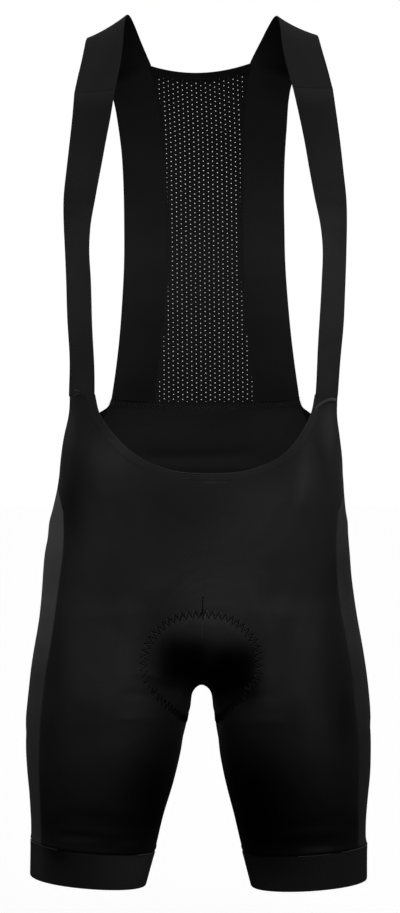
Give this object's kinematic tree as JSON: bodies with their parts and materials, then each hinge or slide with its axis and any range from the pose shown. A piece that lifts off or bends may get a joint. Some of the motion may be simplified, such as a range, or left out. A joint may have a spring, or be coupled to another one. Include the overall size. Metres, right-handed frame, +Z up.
{
  "type": "cycling bib shorts",
  "caption": "Black cycling bib shorts, filled out as worn and hollow, with a scooped front, an open mesh back between wide straps, a seat pad and banded leg ends.",
  "frame": {"origin": "where the wearer's shoulders carry the straps: midway between them, level with their highest point", "axes": "+Z up, -Y out of the garment's front, +X towards the wearer's left"},
  "size_m": [0.356, 0.2301, 0.8961],
  "materials": {
    "panel_knit": "black warp-knitted nylon and elastane with a soft sheen",
    "side_knit": "dark grey matt stretch knit",
    "bib_knit": "black fine stretch knit, matt",
    "mesh_knit": "black knit with a grid of small open holes",
    "strap_elastic": "black flat elastic, matt",
    "neck_binding": "black folded binding with twin stitching",
    "gripper_elastic": "black finely ribbed elastic band",
    "pad_foam": "dark brushed fabric over foam"
  },
  "bodies": {
    "root": {"front_left": "panel_knit", "front_right": "panel_knit", "side_left": "side_knit", "side_right": "side_knit", "back_left": "panel_knit", "back_right": "panel_knit", "back_waist": "panel_knit", "gripper_left": "gripper_elastic", "gripper_right": "gripper_elastic", "front_neck_binding": "neck_binding", "back_neck_band": "neck_binding", "bib_side_left": "bib_knit", "bib_side_right": "bib_knit", "bib_mesh": "mesh_knit", "strap_left": "strap_elastic", "strap_right": "strap_elastic", "seat_pad": "pad_foam"}
  },
  "joints": []
}
